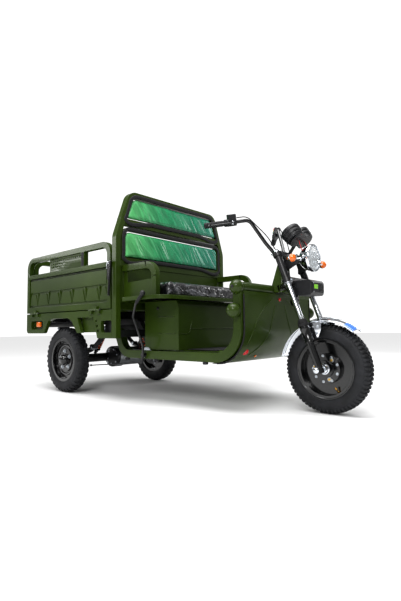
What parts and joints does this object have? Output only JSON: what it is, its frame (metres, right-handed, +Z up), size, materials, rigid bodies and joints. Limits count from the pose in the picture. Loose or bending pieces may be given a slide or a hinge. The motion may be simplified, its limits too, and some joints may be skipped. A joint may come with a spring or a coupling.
{
  "type": "electric cargo tricycle",
  "caption": "Open electric cargo tricycle with a drop-side bed, bench seat, padded backrest and motorcycle front fork.",
  "frame": {"origin": "centre of the bounding box at floor level", "axes": "+X forwards along the vehicle, +Y to its left, +Z up"},
  "size_m": [2.6935, 1.203, 1.436],
  "materials": {
    "green_paint": "gloss olive green paint on pressed steel",
    "black_paint": "satin black paint on steel",
    "chrome": "bright chrome plate",
    "alloy": "cast and machined aluminium",
    "tyre": "black rubber",
    "black_plastic": "grained black plastic",
    "pad_film": "padded vinyl in clear green film",
    "cushion_vinyl": "black vinyl in clear film",
    "orange_lens": "moulded orange lens",
    "red_lens": "moulded red lens"
  },
  "bodies": {
    "body": {"armrest_left": "green_paint", "armrest_right": "green_paint", "backrest_frame": "green_paint", "backrest_pad_lower": "pad_film", "backrest_pad_upper": "pad_film", "battery_pack": "black_plastic", "bed_floor": "green_paint", "bed_headboard": "green_paint", "bed_skirt_left": "green_paint", "bed_skirt_right": "green_paint", "chassis_frame": "black_paint", "controller_box": "black_plastic", "drive_motor": "black_paint", "footwell_floor": "green_paint", "front_shield": "green_paint", "handbrake": "chrome", "headstock": "green_paint", "leaf_springs": "black_paint", "marker_lamps": "orange_lens", "rear_axle": "black_paint", "rear_shocks": "alloy", "seat_barrel": "green_paint", "seat_cushion": "cushion_vinyl", "seat_deck": "green_paint", "side_rail_left": "green_paint", "side_rail_right": "green_paint", "tail_lamps": "red_lens", "top_bar": "green_paint"},
    "side_gate_right": {"side_gate_right": "green_paint", "gate_latch_right": "black_paint"},
    "side_gate_left": {"side_gate_left": "green_paint", "gate_latch_left": "black_paint"},
    "tailgate": {"tailgate": "green_paint"},
    "rear_wheel_right": {"rim_rear_right": "black_paint", "tyre_rear_right": "tyre"},
    "rear_wheel_left": {"rim_rear_left": "black_paint", "tyre_rear_left": "tyre"},
    "steering": {"steering_yoke": "alloy", "fork_stanchions": "chrome", "fork_sliders": "black_plastic", "fork_covers": "black_paint", "front_axle": "alloy", "handlebar": "black_paint", "hand_controls_left": "black_plastic", "hand_controls_right": "black_plastic", "headlamp": "chrome", "turn_signals": "orange_lens", "instrument_pod": "black_plastic", "pod_bracket": "black_paint", "speaker_box": "black_plastic", "front_mudguard": "chrome", "control_cables": "black_plastic"},
    "front_wheel": {"rim_front": "alloy", "tyre_front": "tyre"}
  },
  "joints": [
    {"name": "side_gate_right_hinge", "type": "hinge", "parent": "body", "child": "side_gate_right", "pos_m": [-0.75, -0.5805, 0.6185], "axis": [1, 0, 0], "range_deg": [0, 170]},
    {"name": "side_gate_left_hinge", "type": "hinge", "parent": "body", "child": "side_gate_left", "pos_m": [-0.75, 0.5805, 0.6185], "axis": [-1, 0, 0], "range_deg": [0, 170]},
    {"name": "tailgate_hinge", "type": "hinge", "parent": "body", "child": "tailgate", "pos_m": [-1.34025, 0, 0.6185], "axis": [0, -1, 0], "range_deg": [0, 170]},
    {"name": "rear_wheel_right_spin", "type": "hinge", "parent": "body", "child": "rear_wheel_right", "pos_m": [-0.85125, -0.4685, 0.25], "axis": [0, 1, 0], "continuous": true},
    {"name": "rear_wheel_left_spin", "type": "hinge", "parent": "body", "child": "rear_wheel_left", "pos_m": [-0.85125, 0.4685, 0.25], "axis": [0, 1, 0], "continuous": true},
    {"name": "steering_head", "type": "hinge", "parent": "body", "child": "steering", "pos_m": [1.05871, 0, 0.25], "axis": [-0.3502, 0, 0.9367], "range_deg": [-40, 40]},
    {"name": "front_wheel_spin", "type": "hinge", "parent": "steering", "child": "front_wheel", "pos_m": [1.09675, 0, 0.25], "axis": [0, 1, 0], "continuous": true}
  ]
}
